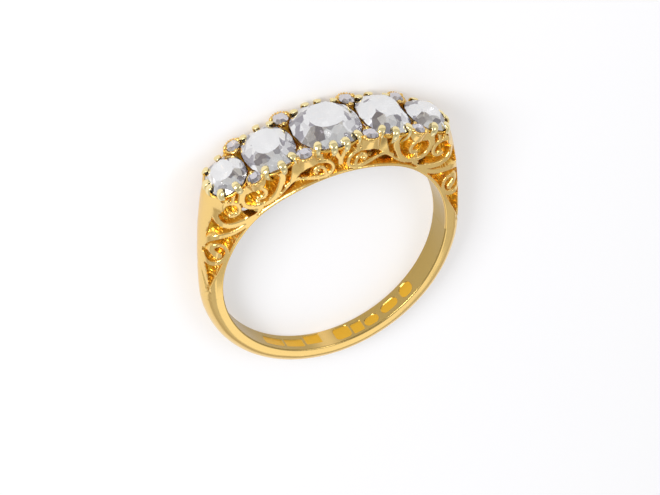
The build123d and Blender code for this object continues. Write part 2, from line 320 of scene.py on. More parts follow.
def hoopSection(angles, boreCells, wallCells, crestCells):
    # Half sections of the hoop at the given angles. Along a row: out along the bore, round the bevel, up the
    # wall and over the elliptical outside to the middle. Gives radius and half width, and the same for the
    # inner skin.
    folded = foldAngle(angles)[:, None]
    inside = smoothTable(hoop["widthInside"], folded)
    outside = smoothTable(hoop["widthOutside"], folded)
    deck = deckRadius(np.maximum(folded, hoop["deckLow"])) - boreRadius
    crest = smoothMin(smoothTable(hoop["crest"], folded), deck, hoop["crestRound"])
    onDeck = smoothStep(folded, *hoop["deckAngles"])
    side = smoothTable(hoop["side"], folded) * (1 - onDeck) + (crest - hoop["deckEdge"]) * onDeck
    side = np.minimum(side, crest - hoop["deckEdge"])
    topU = (boreRadius + crest) * np.cos(np.radians(folded))
    outside = outside * (1 - onDeck) + smoothMax(seatWidth(topU), outside, head["deckBlend"]) * onDeck
    for accent in accents.values():
        # the plate under a small stone stands up in front of it as a lip
        away = np.abs(topU - girdlePlace(accent["turn"])[0]) / (accent["radius"] + head["rim"])
        crest = crest + hoop["lip"] * (1 - smoothStep(away, *hoop["lipShares"])) * onDeck
    side = side * (1 - onDeck) + (crest - hoop["deckEdge"]) * onDeck
    bevel = hoop["bevel"]
    across = np.linspace(0, 1, boreCells + 1)[None, :-1]
    turnBevel = np.radians(np.linspace(0, 90, hoop["bevelCells"] + 1))[None, :-1]
    upWall = np.linspace(0, 1, wallCells + 1)[None, :-1]
    over = np.radians(90) * np.linspace(0, 1, crestCells + 1)[None, :] ** hoop["crowding"]
    flare = upWall ** (1 + hoop["flare"] * onDeck)
    ones = np.ones_like(inside)
    radius = np.hstack([ones * boreRadius + 0 * across,
                        boreRadius + bevel * (1 - np.cos(turnBevel)) + 0 * inside,
                        boreRadius + bevel + (side - bevel) * upWall,
                        boreRadius + side + (crest - side) * np.sin(over)])
    width = np.hstack([(inside - bevel) * across,
                       inside - bevel + bevel * np.sin(turnBevel),
                       inside + (outside - inside) * flare,
                       outside * np.cos(over)])
    thick, band = hoop["wallThickness"], hoop["bandThickness"]
    bevelStep, wallStep = hoop["innerSteps"]
    slim = np.maximum(inside - thick, hoop["slimmest"])
    slimTop = np.maximum(outside - thick, hoop["slimmest"])
    # up the wall the inner skin is level with the outer one, so that a piercing goes straight through
    innerRadius = np.hstack([ones * (boreRadius + band) + 0 * across,
                             boreRadius + band + bevelStep * np.sin(turnBevel) + 0 * inside,
                             np.clip(boreRadius + bevel + (side - bevel) * upWall,
                                     boreRadius + band + bevelStep + wallStep * upWall,
                                     boreRadius + crest - band - wallStep * (1 - upWall)),
                             boreRadius + crest - band + 0 * over])
    innerWidth = np.hstack([slim * across,
                            slim + 0 * turnBevel,
                            slim + (slimTop - slim) * upWall,
                            slimTop * np.cos(over)])
    return radius, width, innerRadius, innerWidth


def ringPoints(angles, radius, width):
    # sections of radius and half width, each turned round the finger axis to its angle
    turn = np.radians(angles)[:, None]
    return np.stack([radius * np.cos(turn), radius * np.sin(turn), width], -1)


def makePiece(name, points, faces, material, slot, smoothAngle=65, **attributes):
    # a mesh from ring points and faces, smooth up to an angle, with point attributes for its material
    mesh = bpy.data.meshes.new(name)
    mesh.from_pydata(toRow(points).tolist(), [], faces)
    mesh.update()
    mesh.polygons.foreach_set("use_smooth", np.ones(len(mesh.polygons), bool))
    mesh.set_sharp_from_angle(angle=radians(smoothAngle))
    for key, values in attributes.items():
        mesh.attributes.new(key, "FLOAT", "POINT").data.foreach_set("value", values.astype(np.float32))
    mesh.materials.append(material)
    piece = bpy.data.objects.new(name, mesh)
    bpy.context.scene.collection.objects.link(piece)
    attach(piece, "root")
    print("made", name, len(faces), "faces")
    return piece


rimSmoothing = dict(rounds=6, share=0.5)  # of the sawn edges, each point drawn towards its neighbours


def skinShell(outer, inner, keep):
    # Closed shell of an outer and an inner grid of points. Cells that aren't kept are openings through both,
    # and every free edge gets a wall between the two skins. Gives points, faces and each point's grid index.
    rows, columns = outer.shape[:2]
    count = rows * columns
    index = np.arange(count).reshape(rows, columns)
    front = np.stack([index[:-1, :-1], index[1:, :-1], index[1:, 1:], index[:-1, 1:]], -1)[keep]
    edges = np.concatenate([front[:, [k, (k + 1) % 4]] for k in range(4)])
    codes = edges.min(1) * count + edges.max(1)
    first, uses = np.unique(codes, return_index=True, return_counts=True)[1:]
    rim = edges[first[uses == 1]]
    walls = np.stack([rim[:, 1], rim[:, 0], rim[:, 0] + count, rim[:, 1] + count], -1)
    points = np.concatenate([outer.reshape(-1, 3), inner.reshape(-1, 3)])
    # the stepped rims of the openings are drawn smooth
    edgeRows, edgeColumns = rim // columns, rim % columns
    atEnd = (edgeRows == 0) | (edgeRows == rows - 1)
    atSide = (edgeColumns == 0) | (edgeColumns == columns - 1)
    loop = rim[~(atEnd | atSide).all(1)]
    loop = np.concatenate([loop, loop[:, ::-1]])
    share = rimSmoothing["share"]
    for skin in (0, count):
        for _ in range(rimSmoothing["rounds"]):
            total = np.zeros((2 * count, 3))
            weight = np.zeros(2 * count)
            np.add.at(total, loop[:, 0] + skin, points[loop[:, 1] + skin])
            np.add.at(weight, loop[:, 0] + skin, 1)
            moved = weight > 1
            points[moved] = (1 - share) * points[moved] + share * total[moved] / weight[moved, None]
    faces = np.concatenate([front, front[:, ::-1] + count, walls])
    used = np.unique(faces)
    renumber = np.zeros(2 * count, int)
    renumber[used] = np.arange(len(used))
    return points[used], renumber[faces], used


# Carving. Places are (u, v) in millimetres on the right half, mirrored to the left.

carving = dict(
    depth=0.64, shallow=0.5,  # of the floor, in the open and close to the ridges
    scoop=0.34,  # width of the hollow side of a ridge
    lipShare=0.2,  # of the hollow side, rounded over at the top
    hollow=2.2,  # power of the hollow's curve
    nearShallow=(0.05, 0.4),  # distances from a ridge between which the floor falls to its full depth
    # folded angle and height of the rail beside the bore: high at the V, thin under the head
    rail=((-10, 0.99), (-1, 0.99), (4.5, 0.72), (11, 0.44), (17.5, 0.28), (26, 0.23), (46, 0.2), (90, 0.16)),
    endAngles=(-1.5, 0.8), endRound=0.6,  # folded angles at the V where the carving runs out
    engraving=0.09, grooveEdge=0.03,
    dents=0.24, dentRounds=5, dentSeed=5,  # of the graver in the floor, before smoothing
    leastWall=0.12, leastCarved=0.15,  # metal left behind the carving, and the wall that is carved at all
)

scrolls = dict(
    # start, heading in degrees, (radius, turn) of each arc, half widths at foot and eye
    gap=dict(start=(4.32, 10.44), heading=-93.8, widths=(0.18, 0.11),
             arcs=((5.88, 20.1), (1.66, 73.2), (0.99, 137.6), (0.81, 120.3), (0.44, 110))),
    end=dict(start=(5.75, 7.06), heading=-50.1, widths=(0.14, 0.11),
             arcs=((3.83, 28.4), (1.25, 84.7), (1.13, 76.8), (0.76, 137.4), (0.46, 110))),
)

# raised strokes, as points with a half width at each
strokes = dict(
    centreRing=((2.6, 9.98, 0.1), (2.0, 10.1, 0.12), (1.45, 10.08, 0.12), (0.98, 9.98, 0.11),
                (0.66, 9.68, 0.1), (0.56, 9.25, 0.1), (0.8, 8.9, 0.11), (1.3, 8.76, 0.13), (1.95, 8.8, 0.12),
                (2.64, 8.97, 0.1), (3.42, 9.05, 0.1), (4.0, 8.6, 0.1)),
    centreCurl=((1.1, 8.85, 0.1), (1.15, 9.2, 0.09), (1.35, 9.55, 0.09), (1.7, 9.64, 0.1),
                (1.95, 9.42, 0.08), (1.8, 9.2, 0.08)),
    shoulderTail=((6.0, 6.3, 0.12), (6.5, 5.93, 0.14), (7.0, 5.55, 0.15), (7.5, 5.28, 0.15),
                  (8.0, 5.1, 0.16), (8.5, 5.03, 0.17), (8.95, 4.98, 0.17), (9.35, 4.8, 0.15),
                  (9.62, 4.45, 0.12), (9.72, 4.0, 0.1)),
    shoulderRing=((9.78, 3.4, 0.12), (9.68, 2.95, 0.12), (9.4, 2.62, 0.13), (9.0, 2.52, 0.14),
                  (8.58, 2.68, 0.13), (8.28, 3.1, 0.12), (8.22, 3.6, 0.11), (8.42, 4.0, 0.11),
                  (8.77, 4.2, 0.12), (9.12, 4.12, 0.13), (9.24, 3.82, 0.15), (9.06, 3.48, 0.18),
                  (8.8, 3.2, 0.2)),
    endSwell=((6.2, 6.42, 0.1), (7.15, 6.0, 0.2), (7.95, 5.92, 0.2), (8.5, 6.15, 0.17), (8.82, 6.6, 0.14),
              (8.94, 7.1, 0.12), (8.92, 7.55, 0.14), (8.75, 8.0, 0.16)),
    innerLeg=((4.5, 10.3, 0.26), (4.35, 9.9, 0.2), (4.22, 9.5, 0.14), (4.28, 8.95, 0.1)),
    centreLegA=((0.48, 11.1, 0.22), (0.42, 10.7, 0.18), (0.24, 10.3, 0.14), (0.04, 9.85, 0.13),
                (0.02, 9.5, 0.14)),
    centreLegB=((1.55, 10.95, 0.2), (1.5, 10.65, 0.15), (1.35, 10.3, 0.1)),
    outerLegA=((7.0, 9.5, 0.2), (7.15, 9.1, 0.15), (7.3, 8.5, 0.1), (7.35, 8.0, 0.08)),
    outerLegB=((8.3, 8.8, 0.24), (8.45, 8.3, 0.2), (8.6, 7.8, 0.14), (8.8, 7.3, 0.1)),
    outerLegC=((7.75, 9.0, 0.12), (7.8, 8.6, 0.1), (7.85, 8.1, 0.08)),
)

balls = dict(
    # place and radius of each scroll's eye
    centre=((1.62, 9.33), 0.2), gap=((5.98, 7.6), 0.28),
    end=((7.8, 7.05), 0.2), shoulder=((8.76, 3.13), 0.2),
)

# raised plates, as corners: under the small stones, and the polished edge of the shoulder outside its line
plates = dict(
    inner=((3.4, 10.5), (3.54, 10.33), (3.59, 9.82), (3.75, 8.96), (4.15, 8.33), (4.63, 7.79), (4.98, 7.4),
           (4.35, 7.95), (3.6, 8.85), (3.37, 9.13), (2.9, 9.6), (2.4, 9.98), (1.9, 10.2), (1.6, 10.35),
           (1.3, 10.6), (1.2, 11.2), (3.4, 11.2)),
    outer=((5.3, 10.4), (5.4, 9.8), (5.6, 9.3), (5.9, 8.98), (6.3, 8.8), (6.7, 8.68), (7.05, 8.6),
           (7.3, 8.85), (7.2, 9.3), (7.25, 9.9), (6.5, 10.6)),
    strip=((9.47, -0.8), (9.49, 0.0), (9.58, 1.67), (9.7, 2.66), (9.76, 3.4), (9.7, 4.2), (9.56, 4.85),
           (9.4, 5.75), (9.24, 6.42), (9.05, 7.15), (8.92, 7.6), (8.78, 8.0), (8.6, 8.6), (8.6, 9.5),
           (12, 9), (13, 4), (13, -0.8)),
)

# engraved lines at the V of the shoulder, as points with a half width at each
engraved = dict(
    crossing=((9.76, -0.66, 0.03), (9.6, -0.24, 0.06), (9.42, 0.1, 0.05)),
    apex=((9.38, -0.3, 0.03), (9.46, 0.0, 0.06), (9.53, 0.4, 0.05)),
    shoulderLine=((9.55, 0.19, 0.06), (9.71, 1.4, 0.05), (9.8, 2.25, 0.04), (9.84, 2.85, 0.02)),
)

# sawn right through the wall, as corners
piercings = dict(
    centre=((0, 9.45), (0.4, 8.98), (-0.4, 8.98)),
    upper=((2.3, 9.72), (2.85, 9.5), (3.15, 9.25), (3.0, 9.14), (2.2, 9.05), (2.15, 9.3)),
    lower=((2.95, 8.72), (3.4, 8.75), (3.9, 8.3), (4.15, 7.8), (3.6, 8.02), (3.1, 8.4)),
    end=((7.05, 6.62), (6.85, 6.88), (6.43, 6.9), (6.0, 6.78), (6.25, 6.55), (6.66, 6.4)),
    behind=((8.3, 7.95), (8.0, 7.98), (7.95, 7.75), (8.25, 7.72)),
    shoulder=((7.6, 5.0), (8.1, 4.85), (8.0, 4.5), (7.75, 4.6)),
)


def arcChain(start, heading, arcs, step=0.04):
    # points along tangent arcs: each arc turns about a centre beside the line
    points = [np.array([start])]
    spot, angle = np.array(start, float), heading
    for radius, turn in arcs:
        side = np.sign(turn)
        normal = radians(angle + 90 * side)
        centre = spot + radius * np.array([cos(normal), sin(normal)])
        steps = max(2, int(abs(radians(turn)) * radius / step))
        along = np.radians(angle - 90 * side + np.linspace(0, turn, steps + 1)[1:])
        points.append(centre + radius * np.stack([np.cos(along), np.sin(along)], -1))
        spot, angle = points[-1][-1], angle + turn
    return np.concatenate(points)


def strokePoints(rows, count=60):
    # a smooth line through the rows, with half widths in the last column
    rows = np.array(rows, float)
    length = np.concatenate([[0], np.cumsum(np.linalg.norm(np.diff(rows[:, :2], axis=0), axis=1))])
    at = np.linspace(0, length[-1], count)
    table = [smoothLine(length, rows[:, k], at) for k in range(3)]
    return np.stack(table[:2], -1), table[2]


def strokeDistance(places, line, widths):
    # distance to the nearest edge of a stroke, less than nothing inside it
    best = np.full(len(places), 1e9)
    for part in np.array_split(np.arange(len(line)), max(1, len(line) // 40)):  # about 40 points at a time
        gap = np.linalg.norm(places[:, None] - line[None, part], axis=2) - widths[part]
        best = np.minimum(best, gap.min(1))
    return best


def insideCorners(places, corners):
    # even and odd crossings of a ray with the polygon's sides
    inside = np.zeros(len(places), bool)
    x, y = places.T
    for (ax, ay), (bx, by) in zip(corners, corners[1:] + corners[:1]):
        crossing = (ay > y) != (by > y)
        if ay != by:
            inside ^= crossing & (x < ax + (y - ay) * (bx - ax) / (by - ay))
    return inside


def plateDistance(places, corners):
    # distance to the nearest side of a plate, less than nothing inside it
    best = np.full(len(places), 1e9)
    for a, b in zip(np.array(corners), np.array(corners[1:] + corners[:1])):
        along = np.clip((places - a) @ (b - a) / ((b - a) @ (b - a)), 0, 1)[:, None]
        best = np.minimum(best, np.linalg.norm(places - a - along * (b - a), axis=1))
    return np.where(insideCorners(places, corners), -best, best)


def ridgeHeight(distance):
    # 1 on top of a ridge, rounded over its edge and then falling as a hollow to 0 at the floor
    away = np.clip(distance / carving["scoop"], 0, 1)
    return 1 - (1 - (1 - away) ** carving["hollow"]) * smoothStep(away, 0, carving["lipShare"])


def graverDents(shape, seed):
    # small random dents, each cell taken as the mean of itself and its four neighbours, a few times over
    dents = np.random.default_rng(seed).normal(size=shape)
    for _ in range(carving["dentRounds"]):
        dents = (dents + sum(np.roll(dents, step, axis) for step in (1, -1) for axis in (0, 1))) / 5
    return dents


def sidePlaces(folded, radius):
    # u and v of each point, as rows
    turn = np.radians(folded)
    return np.stack([radius * np.cos(turn), radius * np.sin(turn)], -1).reshape(-1, 2)


def cellMiddles(grid):
    # the mean of each cell's four corners
    return 0.25 * (grid[1:, 1:] + grid[:-1, 1:] + grid[1:, :-1] + grid[:-1, :-1])


def cellAngles(angles):
    # the folded angle in the middle of each row of cells
    return foldAngle(0.5 * (angles[1:] + angles[:-1]))[:, None]


def carvedDepth(angles, radius):
    # How far the carving lies below the polished surface at each point, and how much of it is carved away.
    # The nearest of all strokes, plates and the rail gives the ridge's height, and the rest is floor.
    folded = foldAngle(angles)[:, None] + 0 * radius
    places = sidePlaces(folded, radius)
    height = (radius - boreRadius).ravel()
    folded = folded.ravel()
    distances = []
    for scroll in scrolls.values():
        line = arcChain(scroll["start"], scroll["heading"], scroll["arcs"])
        distances.append(strokeDistance(places, line, np.linspace(*scroll["widths"], len(line))))
    distances += [strokeDistance(places, *strokePoints(rows)) for rows in strokes.values()]
    distances += [plateDistance(places, corners) for corners in plates.values()]
    distances.append(height - smoothTable(carving["rail"], folded))
    nearest = np.min(distances, axis=0)
    top = np.maximum(ridgeHeight(nearest), smoothStep(-folded, -carving["endRound"], carving["endRound"]))
    for middle, size in balls.values():
        away = np.linalg.norm(places - middle, axis=1)
        top = np.maximum(top, np.sqrt(np.clip(1 - (away / size) ** 2, 0, 1)))
        nearest = np.minimum(nearest, away - size)
    deeper = smoothStep(nearest, *carving["nearShallow"])
    floor = carving["shallow"] + (carving["depth"] - carving["shallow"]) * deeper
    depth = floor * smoothStep(folded, *carving["endAngles"]) * (1 - top)
    edge = carving["grooveEdge"]
    for rows in engraved.values():
        groove = smoothStep(-strokeDistance(places, *strokePoints(rows)), -edge, edge)
        depth = depth + carving["engraving"] * groove
    return depth.reshape(radius.shape), (1 - top).reshape(radius.shape)


def piercedCells(angles, radius):
    # cells of the wall whose middle lies in a piercing
    middle = cellMiddles(radius)
    places = sidePlaces(cellAngles(angles) + 0 * middle, middle)
    hit = np.zeros(len(places), bool)
    for corners in piercings.values():
        hit |= insideCorners(places, corners)
        hit |= insideCorners(places * (-1, 1), corners)
    return hit.reshape(middle.shape)


def boreHoles(angles, width):
    # cells of the band in the oval hole under each stone, round the place where its line meets the bore
    middle, folded = cellMiddles(width), cellAngles(angles)
    hit = np.zeros(middle.shape, bool)
    for stone in stones.values():
        turn = radians(stone["turn"])
        girdle, out = np.array(girdlePlace(stone["turn"])), np.array([sin(turn), cos(turn)])
        along = girdle @ out
        drop = along - np.sqrt(along**2 - girdle @ girdle + boreRadius**2)
        spot = girdle - out * drop
        offset = boreRadius * np.radians(folded - np.degrees(np.arctan2(spot[1], spot[0])))
        share = head["holeShare"]
        along, across = offset / (stone["halfLength"] * share), middle / (stone["halfWidth"] * share)
        hit |= along**2 + across**2 < 1
    return hit


headSpan = dict(
    low=-5, high=90, cells=448,
    openFrom=44, openRows=3,  # past this folded angle the outside is open, but for a few rows at its edge
)


def makeHeadQuarter(name, side, face, material):
    # one side and face of the head and shoulders, from the middle of the band to the middle of the outside
    angles = np.linspace(headSpan["low"], headSpan["high"], headSpan["cells"] + 1)
    if side < 0:
        angles = 180 - angles[::-1]
    cells = (hoop[k] for k in ("boreCells", "wallCells", "crestCells"))
    radius, width, innerRadius, innerWidth = hoopSection(angles, *cells)
    depth, carved = carvedDepth(angles, radius)
    firstWall = hoop["boreCells"]
    seed = carving["dentSeed"] + 2 * side + face
    depth = depth + carving["dents"] * carved * graverDents(depth.shape, seed)
    depth[:, :firstWall] = 0
    carved[:, :firstWall] = 0
    fade = np.ones(radius.shape[1])
    lastWall = firstWall + hoop["bevelCells"] + hoop["wallCells"]
    fade[firstWall:firstWall + hoop["bevelCells"]] = 0
    cut = np.maximum(width - depth * fade, innerWidth + carving["leastWall"])
    width = np.where(width > innerWidth + carving["leastCarved"], cut, width)
    keep = np.ones((len(angles) - 1, radius.shape[1] - 1), bool)
    keep[:, firstWall:lastWall] &= ~piercedCells(angles, radius)[:, firstWall:lastWall]
    keep[:, :firstWall] &= ~boreHoles(angles, width)[:, :firstWall]
    onCrest = np.arange(keep.shape[1]) > lastWall + headSpan["openRows"]
    keep &= ~((cellAngles(angles) > headSpan["openFrom"]) & onCrest[None])
    outer = ringPoints(angles, radius, width * face)
    inner = ringPoints(angles, innerRadius, innerWidth * face)
    points, faces, used = skinShell(outer, inner, keep)
    if face > 0:
        faces = faces[:, ::-1]
    # the inside of the band wears dull and is painted with shade
    worn = np.zeros(carved.shape)
    worn[:, :firstWall] = 1
    carved = np.concatenate([carved.ravel(), np.ones(carved.size)])[used]
    worn = np.concatenate([worn.ravel(), np.zeros(worn.size)])[used]
    return makePiece(name, points, faces.tolist(), material, "gold", carved=carved, worn=worn)


marks = dict(
    # blank punched shapes inside the shank: angle range, range across the band, roundness of the corners
    firstStrip=((-127.5, -115.6), (-0.4, 0.45), 0.2),
    secondStrip=((-114.8, -104.6), (-0.4, 0.45), 0.06),
    box=((-103.6, -95), (-0.7, 0.3), 0.08),
    lozenge=((-88.5, -80), (-0.67, 0.6), 0.34),
    square=((-79.5, -73.5), (-0.45, 0.6), 0.12),
    firstOval=((-72.8, -65), (-0.3, 0.6), 0.42),
    secondOval=((-63, -53), (-0.43, 0.44), 0.42),
    thirdOval=((-51, -43), (-0.6, 0.57), 0.5),
)
punch = dict(depth=0.07, edge=0.05)
paintedHighlight = dict(middle=-93.5, reach=6, share=0.8)  # angle and reach in degrees of a painted highlight between the marks, where the band keeps the polished colour

shankSpan = dict(
    low=-176.5, high=-3.5, markLow=-129, markHigh=-41, plainCells=110, markCells=430,
    boreCells=30, wallCells=4, crestCells=12,
    overlap=0.03, overlapFade=(-0.1, 0.3),  # shrink of the ends inside the head, and its folded angles there
    boreEdge=0.5,  # height above the bore under which the ends shrink outwards
    wornEdge=0.1,  # height above the bore up to which the gold wears dull and is painted with shade
)


def punchedDepth(angles, width):
    # 1 in the blank marks inside the shank, from the distance to a rectangle with round corners
    depth = np.zeros((len(angles), width.shape[1]))
    along = np.radians(angles)[:, None] * boreRadius
    for (start, end), (low, high), corner in marks.values():
        halfLong = boreRadius * radians(end - start) / 2
        x = np.abs(along - boreRadius * radians(start + end) / 2) - halfLong + corner
        y = np.abs(width - (low + high) / 2) - (high - low) / 2 + corner
        outside = np.hypot(np.maximum(x, 0), np.maximum(y, 0))
        distance = outside + np.minimum(np.maximum(x, y), 0) - corner
        depth = np.maximum(depth, smoothStep(-distance, 0, punch["edge"]))
    return depth


def makeShank(name, material):
    # the plain back of the hoop: whole sections joined into a tube with closed ends
    span = shankSpan
    plain = span["plainCells"] // 2
    angles = np.concatenate([
        np.linspace(span["low"], span["markLow"], plain, endpoint=False),
        np.linspace(span["markLow"], span["markHigh"], span["markCells"], endpoint=False),
        np.linspace(span["markHigh"], span["high"], plain)])
    radius, width = hoopSection(angles, span["boreCells"], span["wallCells"], span["crestCells"])[:2]
    radius = np.hstack([radius, radius[:, -2:0:-1]])
    width = np.hstack([width, -width[:, -2:0:-1]])
    sunk = punchedDepth(angles, width) * np.isclose(radius, boreRadius)
    radius = radius + punch["depth"] * sunk
    # the ends lie just inside the head
    fadeFrom, fadeTo = (headSpan["low"] + step for step in span["overlapFade"])
    inside = smoothStep(foldAngle(angles), fadeFrom, fadeTo)[:, None] * span["overlap"]
    radius = np.where(radius < boreRadius + span["boreEdge"], radius + inside, radius - inside)
    width = width * (1 - inside)
    rings = ringPoints(angles, radius, width)
    points, faces = closedTube(rings)
    # a painted highlight: between the marks the band is painted in the polished colour
    highlightShare = paintedHighlight["share"] * np.exp(-((angles - paintedHighlight["middle"]) / paintedHighlight["reach"]) ** 2)[:, None]
    worn = (radius < boreRadius + span["wornEdge"]) * (1 - sunk) * (1 - highlightShare)
    return makePiece(name, points, faces, material, "gold", carved=sunk.ravel(), worn=worn.ravel())


def closedTube(rings, loop=False):
    # faces of a tube through rings of points, closed at its ends or round on itself, and turned outwards
    rows, columns = rings.shape[:2]
    index = np.arange(rows * columns).reshape(rows, columns)
    around = np.vstack([index, index[:1]]) if loop else index
    right = np.roll(around, -1, 1)
    quads = np.stack([around[:-1], right[:-1], right[1:], around[1:]], -1).reshape(-1, 4)
    points = rings.reshape(-1, 3)
    ends = [] if loop else [index[0, ::-1].tolist(), index[-1].tolist()]
    # the quads' volume about the middle is less than nothing where they face inwards
    middle = points - points.mean(0)
    a, b, c, d = (middle[quads[:, k]] for k in range(4))
    volume = (np.cross(a, b) * c).sum() + (np.cross(a, c) * d).sum()
    if volume < 0:
        quads, ends = quads[:, ::-1], [end[::-1] for end in ends]
    return points, quads.tolist() + ends


def joinParts(parts):
    # several solids as one list of points and faces
    points, faces, count = [], [], 0
    for partPoints, partFaces in parts:
        points.append(partPoints)
        faces += [[corner + count for corner in face] for face in partFaces]
        count += len(partPoints)
    return np.concatenate(points), faces


def seatPoints(turn, x, y, z):
    # places in the frame of a seat to ring coordinates: x along the row, y across it, z out of the finger
    t = radians(turn)
    u, v = girdlePlace(turn)
    u, v = u + x * cos(t) + z * sin(t), v - x * sin(t) + z * cos(t)
    return np.stack([u, v, -y + 0 * u], -1)


def outlineAt(angle, stone):
    # place on a stone's cushion outline, and its normal there
    power = head["outlinePower"]
    x, y = np.cos(np.radians(angle)), np.sin(np.radians(angle))
    along = stone["halfLength"] * np.sign(x) * np.abs(x) ** (2 / power)
    across = stone["halfWidth"] * np.sign(y) * np.abs(y) ** (2 / power)
    nx = np.sign(x) * np.abs(along / stone["halfLength"]) ** (power - 1) / stone["halfLength"]
    ny = np.sign(y) * np.abs(across / stone["halfWidth"]) ** (power - 1) / stone["halfWidth"]
    size = np.hypot(nx, ny)
    return along, across, nx / size, ny / size


def eachStone():
    # every main stone with its turn, right half first
    for stone in stones.values():
        yield stone, stone["turn"], 1
        if stone["turn"]:
            yield stone, -stone["turn"], -1


collet = dict(
    # offset from the stone's outline and height above the girdle, round one section
    section=((0.05, -0.02), (0.1, -0.04), (0.12, -0.1), (0.0, -0.3), (-0.4, -0.85), (-0.75, -1.15),
             (-0.75, -0.95), (-0.3, -0.45), (-0.04, -0.16), (0.03, -0.06)),
    cells=112,
    besideStone=0.25,  # share of the rim left where two stones stand side by side
    besideDrop=0.1,
    besideFrom=0.72, besideTo=0.93,  # where that begins and ends, in shares of the stone's half length
    carved=0.6,  # share of the recess colour, which is painted shade
)


def makeCollets(name, material):
    # a rim under each stone that follows its outline
    parts = []
    angle = np.linspace(0, 360, collet["cells"], endpoint=False)[:, None]
    offset, height = np.array(collet["section"]).T
    for stone, turn, side in eachStone():
        x, y, nx, ny = outlineAt(angle, stone)
        towards = x / stone["halfLength"] * side
        towards = -towards if stone is stones["outer"] else np.abs(towards)
        beside = smoothStep(towards, collet["besideFrom"], collet["besideTo"])
        rim = np.where(offset > 0, offset * (1 - beside * (1 - collet["besideStone"])), offset)
        rise = height - collet["besideDrop"] * beside
        parts.append(closedTube(seatPoints(turn, x + nx * rim, y + ny * rim, rise), loop=True))
    points, faces = joinParts(parts)
    return makePiece(name, points, faces, material, "gold", carved=np.full(len(points), collet["carved"]))


claw = dict(
    # outside the stone's outline, height above the girdle, half width, half thickness, from foot to tip
    rows=((-0.5, -1.25, 0.14, 0.1), (-0.22, -0.85, 0.18, 0.13), (0.0, -0.5, 0.21, 0.15),
          (0.12, -0.22, 0.24, 0.16), (0.17, 0.02, 0.26, 0.15), (0.14, 0.2, 0.27, 0.13),
          (0.03, 0.34, 0.27, 0.11), (-0.12, 0.42, 0.25, 0.09), (-0.26, 0.46, 0.18, 0.07),
          (-0.33, 0.47, 0.06, 0.03)),
    rings=26, around=18,
    flatness=0.8,  # power of the section's curve: 1 is an ellipse, less is flatter on top
    backShare=0.8,  # height of the claws of the lower face
)


def makeClaws(name, material):
    # bars up the side of a stone, bent over its edge and flattened into a rounded tip
    parts = []
    rows = np.array(claw["rows"])
    place = np.linspace(0, len(rows) - 1, claw["rings"])
    out, up, half, thick = (smoothLine(np.arange(len(rows)), rows[:, k], place)[:, None] for k in range(4))
    headingOut, headingUp = np.gradient(out[:, 0])[:, None], np.gradient(up[:, 0])[:, None]
    size = np.hypot(headingOut, headingUp)
    around = np.linspace(0, 2 * np.pi, claw["around"], endpoint=False)[None]
    lift = np.sign(np.cos(around)) * np.abs(np.cos(around)) ** claw["flatness"] * thick
    spread = np.sin(around) * half
    for stone, turn, side in eachStone():
        for angle in stone["claws"]:
            for face in (1, -1):
                x, y, nx, ny = outlineAt(face * angle if side > 0 else face * (180 - angle), stone)
                outward = out + lift * headingUp / size
                rise = up - lift * headingOut / size
                rise = np.where(rise > 0, rise * (1 if face > 0 else claw["backShare"]), rise)
                parts.append(closedTube(seatPoints(
                    turn, x + nx * outward - ny * spread, y + ny * outward + nx * spread, rise)))
    points, faces = joinParts(parts)
    return makePiece(name, points, faces, material, "gold", carved=np.zeros(len(points)))


accentSetting = dict(
    # offset from the small stone's edge and height above its girdle, round one section of the collar
    section=((0.03, 0.02), (0.09, 0.04), (0.15, -0.02), (0.16, -0.12), (0.02, -0.34), (-0.24, -0.56),
             (-0.28, -0.42), (0.0, -0.12)),
    lift=0.16, cells=48, clear=0.03,
    tuckReach=0.015, tuckShare=0.1,  # where a main stone stands in the way
    # three beads and a row of grains: angles, radius, place outside the small stone's edge, height
    beads=(((90, -25, 205), 0.16, 0.08, 0.02), (np.linspace(-150, -30, 8), 0.06, 0.13, 0.03)),
    pavilionTop=-0.06, pavilionSlope=0.8,  # of the main stones, to keep clear of
    # the next share is of the recess colour, which is painted shade
    carved=0.12,
)
ballShape = dict(rings=12, around=18, pole=0.12)  # the last is the angle left open at each pole, then capped


def insideStones(u, v, w):
    # places that lie within a main stone's outline and above its pavilion
    hit = np.zeros(np.shape(u), bool)
    gap, power = accentSetting["clear"], head["outlinePower"]
    for stone, turn, side in eachStone():
        t = radians(turn)
        middleU, middleV = girdlePlace(turn)
        du, dv = u - middleU, v - middleV
        x, z = du * cos(t) - dv * sin(t), du * sin(t) + dv * cos(t)
        share = (np.abs(x / (stone["halfLength"] + gap)) ** power
                 + np.abs(w / (stone["halfWidth"] + gap)) ** power) ** (1 / power)
        drop = accentSetting["pavilionSlope"] * (1 - share) * stone["halfLength"]
        hit |= (share < 1) & (z > accentSetting["pavilionTop"] - drop) & (z < stone["crown"])
    return hit


def ball(centre, radius, turn):
    # a round bead whose rings lie along its seat's axis
    pole = ballShape["pole"]
    polar = np.linspace(pole, np.pi - pole, ballShape["rings"])[:, None]
    around = np.linspace(0, 2 * np.pi, ballShape["around"], endpoint=False)[None]
    x, y, z = centre
    return closedTube(seatPoints(turn, x + radius * np.sin(polar) * np.cos(around),
                                 y + radius * np.sin(polar) * np.sin(around),
                                 z + radius * np.cos(polar) + 0 * around))


